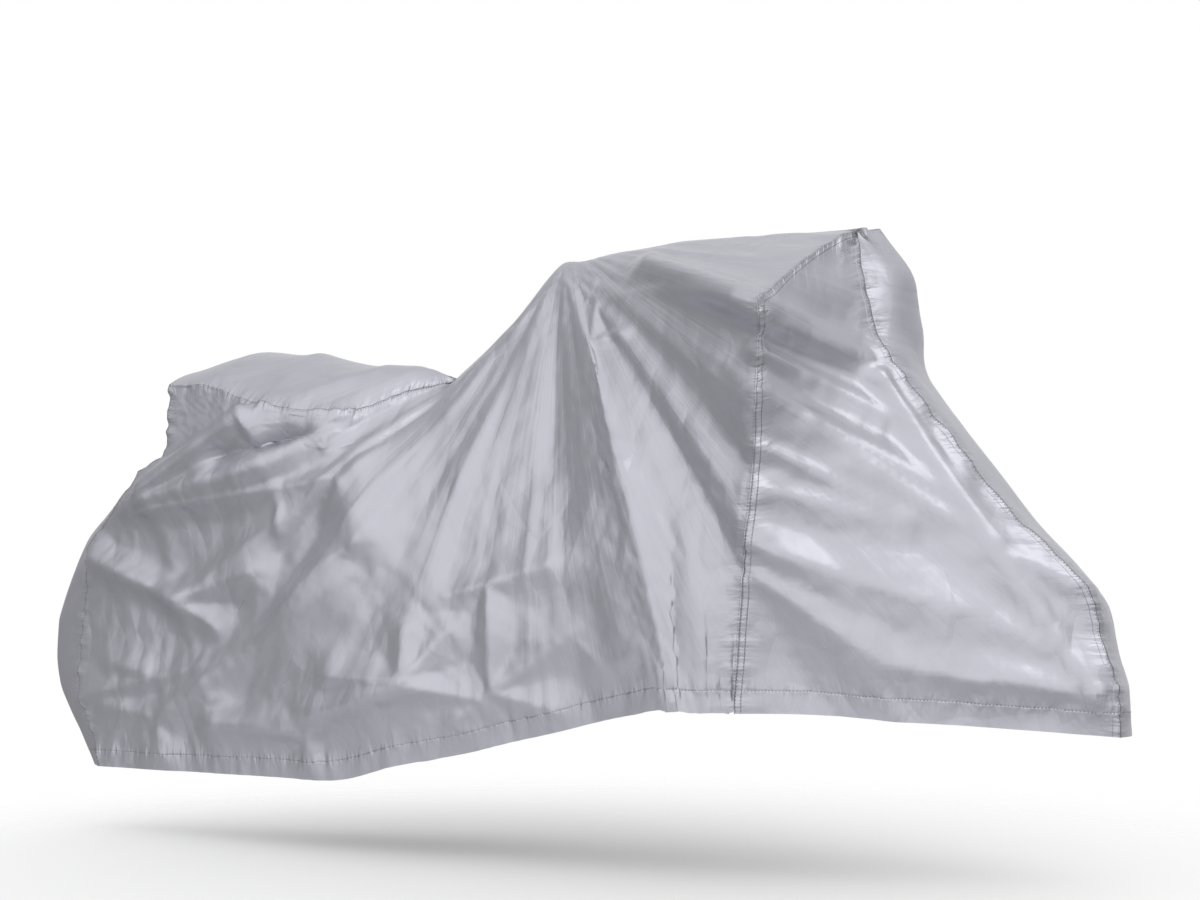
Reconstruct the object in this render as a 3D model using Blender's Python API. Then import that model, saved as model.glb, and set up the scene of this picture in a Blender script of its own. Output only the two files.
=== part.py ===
"""A fitted bicycle cover of thin coated film, in the shape in which it hangs over one bicycle.

+X is the front wheel's end, -Y is the near side, +Z is up. Sizes are in metres. Heights in the
tables are above the ground, and the finished cover is lowered by SADDLE_HEIGHT, so that its origin
lies under the peak where the saddle holds it up.

The cover is five sewn cloths: the body over the ridge, two front side panels, the front strip and
the rear strip. They are worked out as one skin of welded grids, which the folds then push in and
out, and each cloth is cut from that skin along its seams.
"""
import bpy
import numpy as np

SADDLE_HEIGHT = 1.00
CLOTH = 0.002
SEAM_GAP = 0.0004
SHOULDER_ROWS = 10
STRIP_ROWS = 2
SIDE_ROWS = 14
REAR_STRIP_HALF_COLUMNS = 3
FOLD_FADE_WIDTH = 0.06
STEP_STEEPNESS = 4
STEP_REACH = 3
WELD = 1e-5
FILM_GREY = (0.36, 0.36, 0.40)
FILM_ROUGHNESS = 0.4
FILM_METALLIC = 0.2

# Sections of one half of the body, from the rear seam to the front seam. Each level is
# (x, half width, height). "bow" is how far the cloth between top and shoulder rises over a
# straight line, and "cells" is how many columns of facets lie between this row and the next.
BODY_SECTIONS = (
    # place, top, shoulder, upper, lower, hem, bow, cells
    ("rear seam", (-0.75, 0.18, 0.83), (-0.79, 0.14, 0.71), (-1.01, 0.08, 0.55), (-1.05, 0.07, 0.34),
     (-0.97, 0.08, 0.12), 0.00, 2),
    ("wheel back", (-0.66, 0.18, 0.82), (-0.69, 0.15, 0.71), (-0.85, 0.11, 0.57), (-0.86, 0.10, 0.34),
     (-0.77, 0.10, 0.12), 0.00, 3),
    ("pocket middle", (-0.53, 0.18, 0.77), (-0.55, 0.17, 0.71), (-0.62, 0.13, 0.55), (-0.64, 0.12, 0.34),
     (-0.57, 0.12, 0.12), 0.00, 3),
    ("pocket front", (-0.39, 0.14, 0.75), (-0.40, 0.15, 0.68), (-0.43, 0.15, 0.52), (-0.44, 0.15, 0.34),
     (-0.39, 0.13, 0.12), 0.00, 3),
    ("behind saddle", (-0.29, 0.06, 0.80), (-0.29, 0.11, 0.70), (-0.26, 0.17, 0.51), (-0.25, 0.18, 0.34),
     (-0.24, 0.15, 0.15), 0.00, 2),
    ("saddle foot", (-0.23, 0.00, 0.83), (-0.20, 0.06, 0.78), (-0.15, 0.16, 0.56), (-0.13, 0.18, 0.35),
     (-0.12, 0.155, 0.17), 0.01, 3),
    ("saddle back", (-0.12, 0.00, 0.92), (-0.09, 0.06, 0.86), (-0.07, 0.15, 0.63), (-0.05, 0.19, 0.41),
     (-0.03, 0.16, 0.19), 0.02, 3),
    ("saddle peak", (-0.01, 0.00, 1.01), (0.01, 0.06, 0.95), (0.03, 0.13, 0.71), (0.05, 0.19, 0.46),
     (0.06, 0.16, 0.21), 0.03, 2),
    ("saddle nose", (0.05, 0.00, 1.015), (0.07, 0.08, 0.93), (0.10, 0.145, 0.71), (0.15, 0.19, 0.46),
     (0.17, 0.17, 0.235), 0.03, 2),
    ("overlap", (0.11, 0.00, 1.02), (0.12, 0.10, 0.91), (0.16, 0.16, 0.68), (0.22, 0.19, 0.45),
     (0.255, 0.17, 0.25), 0.03, 2),
    ("top tube", (0.20, 0.00, 1.02), (0.22, 0.14, 0.90), (0.24, 0.175, 0.67), (0.27, 0.19, 0.44),
     (0.28, 0.17, 0.25), 0.03, 2),
    ("head tube", (0.35, 0.00, 1.015), (0.32, 0.20, 0.86), (0.32, 0.20, 0.65), (0.315, 0.20, 0.44),
     (0.31, 0.17, 0.25), 0.03, 3),
    ("front seam", (0.535, 0.00, 1.005), (0.43, 0.26, 0.82), (0.41, 0.23, 0.63), (0.38, 0.20, 0.44),
     (0.35, 0.16, 0.25), 0.03, 0),
)
STRIP_POINT = 5

# Edge of the front strip from the pocket's top corner, which the body gives, down to the hem, and
# how far the strip bows forward of its edges.
FRONT_STRIP = (
    # x, half width, height, bow
    (0.535, 0.077, 0.890, 0.035),
    (0.550, 0.080, 0.820, 0.040),
    (0.578, 0.077, 0.758, 0.035),
    (0.630, 0.070, 0.685, 0.030),
    (0.690, 0.065, 0.600, 0.030),
    (0.750, 0.060, 0.515, 0.025),
    (0.805, 0.055, 0.445, 0.015),
    (0.840, 0.050, 0.385, 0.015),
    (0.852, 0.050, 0.320, 0.015),
    (0.862, 0.050, 0.270, 0.015),
    (0.862, 0.050, 0.215, 0.015),
)

# How far the rear strip stands out from the straight line between its two seams: first along the
# pocket's top from the strip's point to the rear corner, then down the back to the hem.
REAR_STRIP_BOW = (
    # place along the strip (0 point, 1 rear corner, 2 hem), back, up
    (0.00, 0.00, 0.00),
    (0.30, 0.00, 0.11),
    (0.55, 0.00, 0.145),
    (0.80, 0.01, 0.10),
    (1.00, 0.03, 0.06),
    (1.25, 0.06, 0.02),
    (1.45, 0.08, 0.01),
    (1.70, 0.13, 0.00),
    (1.85, 0.12, 0.00),
    (2.00, 0.07, 0.00),
)


def eased(rows, at):
    """Read a smooth curve through the rows at fractional row numbers.

    Cubic pieces. The slope at a row is the harmonic mean of the slopes on its two sides, or zero
    where they point opposite ways, so that the curve never swings past a row.
    """
    rows = np.asarray(rows, float)
    step = np.diff(rows, axis=0)
    slope = np.zeros_like(rows)
    slope[0], slope[-1] = step[0], step[-1]
    product = step[:-1] * step[1:]
    same_way = product > 0
    slope[1:-1] = np.where(same_way, 2 * product / np.where(same_way, step[:-1] + step[1:], 1), 0)
    first = np.clip(np.floor(at).astype(int), 0, len(rows) - 2)
    f = (at - first).reshape((-1,) + (1,) * (rows.ndim - 1))
    start = rows[first] * (1 + 2 * f) * (1 - f) ** 2 + slope[first] * f * (1 - f) ** 2
    end = rows[first + 1] * f ** 2 * (3 - 2 * f) + slope[first + 1] * f ** 2 * (f - 1)
    return start + end


def body_half():
    """One half of the body as a grid: columns from the rear seam to the front seam, rows from the
    top down. A quadratic arch joins top and shoulder, and an eased curve goes on to the hem."""
    levels = np.array([row[1:6] for row in BODY_SECTIONS])
    bow = np.array([[row[6]] for row in BODY_SECTIONS])
    cells = [row[7] for row in BODY_SECTIONS]
    columns = [i + k / n for i, n in enumerate(cells) for k in range(n)]
    columns = np.array(columns + [len(cells) - 1])
    levels = eased(levels, columns)
    bow = eased(bow, columns)
    down = np.linspace(0, 1, SHOULDER_ROWS + 1)[None, :, None]
    top, shoulder = levels[:, None, 0], levels[:, None, 1]
    arch = 4 * down * (1 - down) * np.array([0, 0, 1]) * bow[:, None]
    upper = top + (shoulder - top) * down + arch
    side_levels = levels[:, 1:].transpose(1, 0, 2)
    side = eased(side_levels, np.linspace(0, len(side_levels) - 1, SIDE_ROWS + 1)).transpose(1, 0, 2)
    return columns, np.concatenate([upper, side[:, 1:]], axis=1)


def front_strip_edge(corner):
    """The front strip's edge from the pocket's corner to the hem, one point for each side row."""
    rows = np.array([(*corner, 0.0), *FRONT_STRIP])
    return eased(rows, np.linspace(0, len(rows) - 1, SIDE_ROWS + 1))


def front_side(body):
    """A front side panel: straight lines from the body's vertical seam to the front strip's edge,
    and the slanted seam on top."""
    slanted = body[-1, SHOULDER_ROWS:STRIP_ROWS - 1:-1]
    seam = body[-1, SHOULDER_ROWS:]
    edge = front_strip_edge(slanted[-1])[:, :3]
    across = np.linspace(0, 1, len(slanted))[None, :, None]
    panel = seam[:, None] * (1 - across) + edge[:, None] * across
    top_change = slanted - panel[0]
    fade = np.linspace(1, 0, len(panel))[:, None, None] ** 2
    return panel + top_change[None] * fade


def front_strip(body):
    """The front strip: across it a parabola of the bow, fading in below the arch of its top."""
    arch = body[-1, STRIP_ROWS::-1]
    arch = np.concatenate([arch * [1, -1, 1], arch[-2::-1]])
    edge = front_strip_edge(body[-1, STRIP_ROWS])
    across = arch[:, 1] / arch[-1, 1]
    points = np.empty((len(edge), len(arch), 3))
    points[:, :, 0] = edge[:, 0, None] + edge[:, 3, None] * (1 - across ** 2)
    points[:, :, 1] = edge[:, 1, None] * across
    points[:, :, 2] = edge[:, 2, None]
    fade = np.linspace(1, 0, len(edge))[:, None, None] ** 2
    return points + (arch - points[0])[None] * fade


def rear_strip(columns, body):
    """The rear strip: its edge follows the body's top from the strip's point back to the rear
    corner and then the rear seam to the hem, and a parabola of the bow crosses it."""
    top = body[:np.searchsorted(columns, STRIP_POINT) + 1, 0][::-1]
    edge = np.concatenate([top, body[0, 1:]])
    down_back = np.linspace(1, 2, body.shape[1])[1:]
    place = np.concatenate([np.linspace(0, 1, len(top)), down_back])
    table = np.array(REAR_STRIP_BOW)
    back = np.interp(place, table[:, 0], table[:, 1])[:, None]
    up = np.interp(place, table[:, 0], table[:, 2])[:, None]
    across = np.linspace(-1, 1, 2 * REAR_STRIP_HALF_COLUMNS + 1)
    bump = 1 - across ** 2
    x = edge[:, 0, None] - back * bump
    y = edge[:, 1, None] * across
    height = edge[:, 2, None] + up * bump
    return np.stack([x, y, height], -1)


# Folds of the two sides, as seen square from the near side. A ridge is a soft swelling, raised for
# a positive height and sunk for a negative one. A step is a sharp edge: the cloth stands proud on
# its +x side, or lies back there for a negative height. "bend" moves the fold's middle sideways.
NEAR_FOLDS = (
    # name, kind, start (x, height), end (x, height), bend, start width, end width, depth
    ("saddle drop", "step", (0.00, 0.98), (-0.36, 0.62), 0.00, 0.02, 0.05, 0.025),
    ("saddle to wheel", "ridge", (-0.34, 0.64), (-0.74, 0.43), 0.00, 0.05, 0.04, 0.018),
    ("broad fan ridge", "ridge", (0.00, 0.98), (-0.45, 0.37), 0.03, 0.02, 0.07, 0.028),
    ("fan crest", "ridge", (0.00, 0.96), (-0.05, 0.42), -0.03, 0.02, 0.04, 0.026),
    ("fan hollow", "ridge", (0.01, 0.95), (0.03, 0.36), 0.00, 0.02, 0.04, -0.018),
    ("fan middle ridge", "ridge", (0.02, 0.96), (0.13, 0.33), 0.00, 0.02, 0.04, 0.022),
    ("overlap hollow", "ridge", (0.04, 0.92), (0.20, 0.33), -0.01, 0.02, 0.04, -0.034),
    ("overlap edge", "step", (0.09, 0.88), (0.25, 0.25), 0.01, 0.02, 0.04, 0.036),
    ("overlap shoulder", "ridge", (0.12, 0.81), (0.39, 0.52), 0.00, 0.03, 0.05, 0.016),
    ("top tube ridge", "ridge", (0.05, 0.97), (0.41, 0.69), 0.02, 0.02, 0.04, 0.012),
    ("handlebar roll", "ridge", (0.19, 0.96), (0.42, 0.82), 0.00, 0.03, 0.03, 0.010),
    ("pocket edge", "step", (-0.56, 0.76), (-0.82, 0.67), 0.00, 0.04, 0.04, 0.030),
    ("pocket hollow", "ridge", (-0.62, 0.69), (-0.45, 0.71), 0.00, 0.03, 0.03, -0.022),
    ("wheel upper ridge", "ridge", (-0.88, 0.62), (-0.40, 0.71), -0.02, 0.03, 0.03, 0.014),
    ("wheel back crease", "ridge", (-0.99, 0.52), (-0.74, 0.43), 0.00, 0.04, 0.03, 0.014),
    ("wheel low ridge", "ridge", (-0.76, 0.24), (-0.36, 0.44), 0.00, 0.03, 0.05, 0.012),
    ("pedal low ridge", "ridge", (-0.65, 0.21), (-0.20, 0.28), -0.01, 0.04, 0.04, 0.014),
    ("pedal star", "ridge", (-0.20, 0.28), (-0.10, 0.40), 0.00, 0.03, 0.04, 0.012),
    ("front long ridge", "ridge", (0.42, 0.67), (0.71, 0.48), 0.00, 0.03, 0.03, 0.018),
    ("front broad ridge", "ridge", (0.40, 0.52), (0.82, 0.28), -0.04, 0.04, 0.03, 0.016),
    ("front low hollow", "ridge", (0.45, 0.39), (0.71, 0.29), 0.00, 0.03, 0.03, -0.016),
    ("front steep ridge", "ridge", (0.57, 0.75), (0.71, 0.48), 0.00, 0.03, 0.02, 0.012),
    ("front lower edge", "step", (0.70, 0.49), (0.83, 0.28), 0.00, 0.03, 0.03, -0.014),
    ("grip ridge", "ridge", (0.43, 0.81), (0.54, 0.77), 0.00, 0.03, 0.03, 0.008),
)
FAR_FOLDS = (
    ("saddle drop", "step", (0.00, 0.98), (-0.32, 0.66), 0.00, 0.02, 0.05, 0.022),
    ("broad fan ridge", "ridge", (0.00, 0.98), (-0.38, 0.33), 0.02, 0.02, 0.07, 0.030),
    ("fan crest", "ridge", (0.00, 0.96), (-0.15, 0.38), 0.02, 0.02, 0.04, 0.022),
    ("fan hollow", "ridge", (0.01, 0.96), (-0.04, 0.36), 0.00, 0.02, 0.04, -0.020),
    ("fan middle ridge", "ridge", (0.02, 0.96), (0.06, 0.30), -0.01, 0.02, 0.05, 0.026),
    ("overlap hollow", "ridge", (0.03, 0.94), (0.15, 0.36), 0.00, 0.02, 0.04, -0.026),
    ("front fan ridge", "ridge", (0.05, 0.93), (0.26, 0.31), 0.02, 0.02, 0.05, 0.026),
    ("top tube ridge", "ridge", (0.05, 0.97), (0.40, 0.62), 0.00, 0.02, 0.04, 0.014),
    ("handlebar roll", "ridge", (0.16, 0.97), (0.42, 0.81), 0.00, 0.03, 0.03, 0.010),
    ("pocket edge", "step", (-0.50, 0.75), (-0.82, 0.66), 0.02, 0.04, 0.04, 0.026),
    ("pocket hollow", "ridge", (-0.66, 0.68), (-0.40, 0.70), 0.00, 0.03, 0.03, -0.018),
    ("wheel upper ridge", "ridge", (-0.92, 0.59), (-0.44, 0.68), -0.02, 0.03, 0.04, 0.016),
    ("wheel star", "ridge", (-0.70, 0.40), (-0.34, 0.60), 0.02, 0.03, 0.05, 0.016),
    ("wheel low ridge", "ridge", (-0.85, 0.22), (-0.48, 0.42), 0.02, 0.04, 0.04, 0.014),
    ("pedal low ridge", "ridge", (-0.55, 0.20), (-0.12, 0.31), -0.01, 0.04, 0.05, 0.016),
    ("front long ridge", "ridge", (0.42, 0.71), (0.72, 0.44), 0.02, 0.03, 0.03, 0.018),
    ("front broad ridge", "ridge", (0.39, 0.46), (0.78, 0.30), -0.02, 0.04, 0.04, 0.018),
    ("front low hollow", "ridge", (0.42, 0.36), (0.68, 0.27), 0.00, 0.03, 0.03, -0.014),
    ("front steep ridge", "ridge", (0.56, 0.77), (0.68, 0.52), 0.00, 0.03, 0.02, 0.012),
)


def fold_depth(x, height, folds):
    """How far a set of folds pushes the cloth out at side-view places.

    Across a ridge the depth is a bell curve. Across a step it is a steep S that dies away slowly on
    the proud side. Both follow a shallow parabola from start to end and fade past the ends.
    """
    depth = np.zeros_like(x)
    for _, kind, (x0, z0), (x1, z1), bend, start_width, end_width, amount in folds:
        length = np.hypot(x1 - x0, z1 - z0)
        ux, uz = (x1 - x0) / length, (z1 - z0) / length
        run = ((x - x0) * ux + (height - z0) * uz) / length
        part = np.clip(run, 0, 1)
        off = (height - z0) * ux - (x - x0) * uz - 4 * bend * part * (1 - part)
        width = start_width + (end_width - start_width) * part
        past = np.maximum(np.maximum(-run, run - 1), 0) * length
        strength = amount * width / max(start_width, end_width) * np.exp(-(past / width) ** 2)
        if kind == "ridge":
            depth += strength * np.exp(-(off / width) ** 2)
        else:
            edge = 0.5 + 0.5 * np.tanh(STEP_STEEPNESS * off / width)
            depth += strength * edge * np.exp(-np.maximum(off, 0) / (STEP_REACH * width))
    return depth


def grid_quads(rows, columns, first, turned):
    """Corner numbers of every cell of a grid; turned grids run round the other way."""
    corner = first + np.arange(rows * columns).reshape(rows, columns)
    quads = np.stack([corner[:-1, :-1], corner[1:, :-1], corner[1:, 1:], corner[:-1, 1:]], -1)
    quads = quads.reshape(-1, 4)
    return quads[:, ::-1] if turned else quads


def welded_skin(grids):
    """Join (cloth, grid, turned) pieces into one skin: points that coincide become one point."""
    points, quads, owner, count = [], [], [], 0
    for cloth, grid, turned in grids:
        faces = grid_quads(*grid.shape[:2], count, turned)
        points.append(grid.reshape(-1, 3))
        quads.append(faces)
        owner += [cloth] * len(faces)
        count += grid.shape[0] * grid.shape[1]
    points = np.concatenate(points)
    rounded = np.round(points / WELD)
    _, kept, joined = np.unique(rounded, axis=0, return_index=True, return_inverse=True)
    return points[kept], joined.reshape(-1)[np.concatenate(quads)], np.array(owner)


def point_normals(points, quads):
    """Mean direction of the faces round each point, weighted by their size."""
    corners = points[quads]
    face = np.cross(corners[:, 2] - corners[:, 0], corners[:, 3] - corners[:, 1])
    total = np.zeros_like(points)
    for corner in range(4):
        np.add.at(total, quads[:, corner], face)
    return total / np.linalg.norm(total, axis=1, keepdims=True)


def split_cells(points, quads):
    """Cut each cell in two along its shorter diagonal, and drop the halves that have collapsed."""
    corners = points[quads]
    first_way = np.linalg.norm(corners[:, 2] - corners[:, 0], axis=1)
    second_way = np.linalg.norm(corners[:, 3] - corners[:, 1], axis=1)
    turned = np.where((first_way <= second_way)[:, None], quads, np.roll(quads, -1, axis=1))
    halves = np.concatenate([turned[:, [0, 1, 2]], turned[:, [0, 2, 3]]])
    a, b, c = halves.T
    return halves[(a != b) & (b != c) & (c != a)]


def cloth_solid(points, inner, faces):
    """The closed sheet between some triangles of the skin and the same triangles of its inner face,
    drawn back from its own edges by half a seam gap. The rim's cells are split the same way in both
    cloths of a seam, so that twisted ones lie face to face."""
    faces = faces.tolist()
    sides = [(f[i - 1], f[i]) for f in faces for i in range(len(f))]
    known = set(sides)
    rim = [side for side in sides if side[::-1] not in known]
    used = sorted({c for f in faces for c in f})
    place = {c: i for i, c in enumerate(used)}
    pull = {}
    for face in faces:
        centre = points[face].mean(axis=0)
        for corner in face:
            pull.setdefault(corner, []).append(centre - points[corner])
    shift = np.zeros((len(used), 3))
    for corner in {c for side in rim for c in side}:
        way = np.sum(pull[corner], axis=0)
        shift[place[corner]] = way / np.linalg.norm(way) * SEAM_GAP / 2
    outer_points = points[used] + shift
    inner_points = inner[used] + shift
    n = len(used)
    solid = [[place[c] for c in f] for f in faces]
    solid += [[place[c] + n for c in reversed(f)] for f in faces]
    for a, b in rim:
        first, last = place[a], place[b]
        if a < b:
            solid += [[first, first + n, last + n], [first, last + n, last]]
        else:
            solid += [[last, first, first + n], [last, first + n, last + n]]
    return np.concatenate([outer_points, inner_points]), solid


def film(name, colour):
    """Silver-grey coated film."""
    material = bpy.data.materials.new(name)
    material.use_nodes = True
    shader = material.node_tree.nodes["Principled BSDF"]
    shader.inputs["Base Color"].default_value = (*colour, 1)
    shader.inputs["Roughness"].default_value = FILM_ROUGHNESS
    shader.inputs["Metallic"].default_value = FILM_METALLIC
    return material


for old in list(bpy.data.objects):
    bpy.data.objects.remove(old, do_unlink=True)

columns, body = body_half()
side_panel = front_side(body)
near = np.array([1, -1, 1])
skin, cells, owners = welded_skin((
    ("cover_body", body, False),
    ("cover_body", body * near, True),
    ("front_side_far", side_panel, True),
    ("front_side_near", side_panel * near, False),
    ("front_strip", front_strip(body), False),
    ("rear_strip", rear_strip(columns, body), True),
))
outward = point_normals(skin, cells)
depth = np.where(skin[:, 1] < 0, fold_depth(skin[:, 0], skin[:, 2], NEAR_FOLDS),
                 fold_depth(skin[:, 0], skin[:, 2], FAR_FOLDS))
fade = np.clip(np.abs(skin[:, 1]) / FOLD_FADE_WIDTH, 0, 1)
skin = skin + outward * (depth * fade * fade * (3 - 2 * fade))[:, None]
inner_skin = skin - CLOTH * point_normals(skin, cells)
drop = np.array([0, 0, SADDLE_HEIGHT])

for cloth in dict.fromkeys(owners.tolist()):
    points, faces = cloth_solid(skin, inner_skin, split_cells(skin, cells[owners == cloth]))
    mesh = bpy.data.meshes.new(cloth)
    mesh.from_pydata((points - drop).tolist(), [], faces)
    mesh.shade_smooth()
    solid = bpy.data.objects.new(cloth, mesh)
    bpy.context.scene.collection.objects.link(solid)
    mesh.materials.append(film(cloth + "_film", FILM_GREY))
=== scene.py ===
import bpy
import numpy as np
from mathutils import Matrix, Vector


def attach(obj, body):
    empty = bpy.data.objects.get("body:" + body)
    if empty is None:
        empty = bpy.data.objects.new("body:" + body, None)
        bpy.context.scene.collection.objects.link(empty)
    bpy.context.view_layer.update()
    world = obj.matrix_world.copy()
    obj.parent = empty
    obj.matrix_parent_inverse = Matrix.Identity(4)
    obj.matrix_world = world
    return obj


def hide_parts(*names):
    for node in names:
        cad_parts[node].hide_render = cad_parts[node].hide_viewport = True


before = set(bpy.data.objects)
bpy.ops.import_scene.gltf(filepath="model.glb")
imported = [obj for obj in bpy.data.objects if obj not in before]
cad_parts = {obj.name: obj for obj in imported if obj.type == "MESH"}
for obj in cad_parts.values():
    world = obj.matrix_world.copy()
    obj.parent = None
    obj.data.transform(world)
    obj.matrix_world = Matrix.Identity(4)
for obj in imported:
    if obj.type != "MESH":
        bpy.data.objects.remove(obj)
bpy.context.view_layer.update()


# ---------------------------------------------------------------- the whole cover, before it is cut
# A fitted cover of thin coated film, hung over a bicycle that isn't there. The saddle, the grips and
# the load on the carrier hold it up. Its five cloths are worked out together as grids of points, so
# that they meet at their seams, and each is cut from them in its own section below.
SADDLE_HEIGHT = 1.00
SHOULDER_ROWS = 20
STRIP_ROWS = 4
SIDE_ROWS = 44
REAR_STRIP_HALF_COLUMNS = 9
FOLD_FADE_WIDTH = 0.06
PEAK_REACH = 0.14
FAR_HEM_LIFT = 0.050
FAR_HEM_LIFT_X = -0.02
FAR_HEM_LIFT_WIDTH = 0.36
FAR_HEM_LIFT_TOP = 0.75
WELD = 1e-5
HEM_DEPTH = 0.033
BELL_SHARE = 0.4
STEP_STEEPNESS = 4
STEP_REACH = 3
NOISE_TABLE = 256

# Heights in these tables are above the ground. Each level of a section is (x, half width, height),
# "bow" is how far the cloth between top and shoulder rises over a straight line, and "cells" is how
# many columns of the grid lie between this section and the next.
BODY_SECTIONS = (
    # place, top, shoulder, upper, lower, hem, bow, cells
    ("rear seam", (-0.75, 0.18, 0.83), (-0.782, 0.14, 0.69), (-1.01, 0.08, 0.55), (-1.05, 0.07, 0.34),
     (-0.97, 0.08, 0.12), 0.00, 9),
    ("wheel back", (-0.66, 0.18, 0.82), (-0.688, 0.15, 0.70), (-0.85, 0.11, 0.57), (-0.86, 0.10, 0.34),
     (-0.77, 0.10, 0.12), 0.00, 12),
    ("pocket middle", (-0.53, 0.18, 0.77), (-0.55, 0.17, 0.71), (-0.62, 0.13, 0.55), (-0.64, 0.12, 0.34),
     (-0.57, 0.12, 0.12), 0.00, 11),
    ("pocket front", (-0.39, 0.14, 0.75), (-0.40, 0.15, 0.68), (-0.43, 0.15, 0.52), (-0.44, 0.15, 0.34),
     (-0.39, 0.13, 0.12), 0.00, 10),
    ("behind saddle", (-0.29, 0.06, 0.80), (-0.29, 0.11, 0.70), (-0.26, 0.17, 0.51), (-0.25, 0.18, 0.34),
     (-0.24, 0.15, 0.15), 0.00, 7),
    ("saddle foot", (-0.23, 0.00, 0.83), (-0.20, 0.06, 0.78), (-0.15, 0.16, 0.56), (-0.13, 0.18, 0.35),
     (-0.12, 0.155, 0.17), 0.01, 8),
    ("saddle back", (-0.12, 0.00, 0.907), (-0.09, 0.06, 0.86), (-0.07, 0.15, 0.63), (-0.05, 0.19, 0.41),
     (-0.03, 0.16, 0.19), 0.02, 8),
    ("saddle peak", (-0.01, 0.00, 1.01), (0.01, 0.06, 0.95), (0.03, 0.13, 0.71), (0.05, 0.19, 0.46),
     (0.06, 0.16, 0.21), 0.03, 7),
    ("saddle nose", (0.05, 0.00, 1.015), (0.07, 0.08, 0.93), (0.10, 0.145, 0.71), (0.15, 0.19, 0.46),
     (0.17, 0.17, 0.235), 0.03, 6),
    ("overlap", (0.11, 0.00, 1.02), (0.12, 0.10, 0.91), (0.16, 0.16, 0.68), (0.22, 0.19, 0.45),
     (0.255, 0.17, 0.25), 0.03, 5),
    ("top tube", (0.20, 0.00, 1.02), (0.22, 0.14, 0.90), (0.24, 0.175, 0.67), (0.27, 0.19, 0.44),
     (0.28, 0.17, 0.25), 0.03, 5),
    ("head tube", (0.35, 0.00, 1.015), (0.32, 0.20, 0.86), (0.32, 0.20, 0.65), (0.315, 0.20, 0.44),
     (0.31, 0.17, 0.25), 0.03, 8),
    ("front seam", (0.550, 0.00, 1.000), (0.43, 0.26, 0.82), (0.41, 0.23, 0.63), (0.38, 0.20, 0.44),
     (0.35, 0.16, 0.25), 0.03, 0),
)
STRIP_POINT = 5

# Edge of the front strip from the pocket's top corner down to the hem, and how far the strip bows
# forward of its edges.
FRONT_STRIP = (
    # x, half width, height, bow
    (0.542, 0.077, 0.890, 0.042),
    (0.553, 0.080, 0.820, 0.042),
    (0.570, 0.077, 0.758, 0.030),
    (0.618, 0.070, 0.685, 0.025),
    (0.678, 0.065, 0.600, 0.025),
    (0.742, 0.060, 0.515, 0.020),
    (0.805, 0.055, 0.445, 0.015),
    (0.840, 0.050, 0.385, 0.015),
    (0.852, 0.050, 0.320, 0.015),
    (0.862, 0.050, 0.270, 0.015),
    (0.862, 0.050, 0.215, 0.015),
)

# How far the rear strip stands out from the straight line between its two seams.
REAR_STRIP_BOW = (
    # place along the strip (0 point, 1 rear corner, 2 hem), back, up
    (0.00, 0.00, 0.00),
    (0.30, 0.00, 0.11),
    (0.55, 0.00, 0.135),
    (0.80, 0.01, 0.10),
    (1.00, 0.03, 0.06),
    (1.25, 0.06, 0.02),
    (1.45, 0.08, 0.01),
    (1.70, 0.13, 0.00),
    (1.85, 0.12, 0.00),
    (2.00, 0.07, 0.00),
)


def eased(rows, at):
    """Read a smooth curve through the rows at fractional row numbers: cubic pieces, whose slope at a
    row is the harmonic mean of the slopes on its two sides, or zero where they point opposite ways."""
    rows = np.asarray(rows, float)
    step = np.diff(rows, axis=0)
    slope = np.zeros_like(rows)
    slope[0], slope[-1] = step[0], step[-1]
    product = step[:-1] * step[1:]
    same_way = product > 0
    slope[1:-1] = np.where(same_way, 2 * product / np.where(same_way, step[:-1] + step[1:], 1), 0)
    first = np.clip(np.floor(at).astype(int), 0, len(rows) - 2)
    f = (at - first).reshape((-1,) + (1,) * (rows.ndim - 1))
    start = rows[first] * (1 + 2 * f) * (1 - f) ** 2 + slope[first] * f * (1 - f) ** 2
    end = rows[first + 1] * f ** 2 * (3 - 2 * f) + slope[first + 1] * f ** 2 * (f - 1)
    return start + end


def body_half():
    """One half of the body: columns from the rear seam to the front seam, rows from the top down. A
    quadratic arch joins top and shoulder, and an eased curve goes on to the hem."""
    levels = np.array([row[1:6] for row in BODY_SECTIONS])
    bow = np.array([[row[6]] for row in BODY_SECTIONS])
    columns = [i + k / row[7] for i, row in enumerate(BODY_SECTIONS) for k in range(row[7])]
    columns = np.array(columns + [len(BODY_SECTIONS) - 1])
    levels = eased(levels, columns)
    bow = eased(bow, columns)
    down = np.linspace(0, 1, SHOULDER_ROWS + 1)[None, :, None]
    top, shoulder = levels[:, None, 0], levels[:, None, 1]
    arch = 4 * down * (1 - down) * np.array([0, 0, 1]) * bow[:, None]
    upper = top + (shoulder - top) * down + arch
    side_levels = levels[:, 1:].transpose(1, 0, 2)
    side = eased(side_levels, np.linspace(0, 3, SIDE_ROWS + 1)).transpose(1, 0, 2)
    return columns, np.concatenate([upper, side[:, 1:]], axis=1)


def front_strip_edge(corner):
    """The front strip's edge from the pocket's corner to the hem, one point for each side row."""
    rows = np.array([(*corner, 0.0), *FRONT_STRIP])
    return eased(rows, np.linspace(0, len(rows) - 1, SIDE_ROWS + 1))


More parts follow.
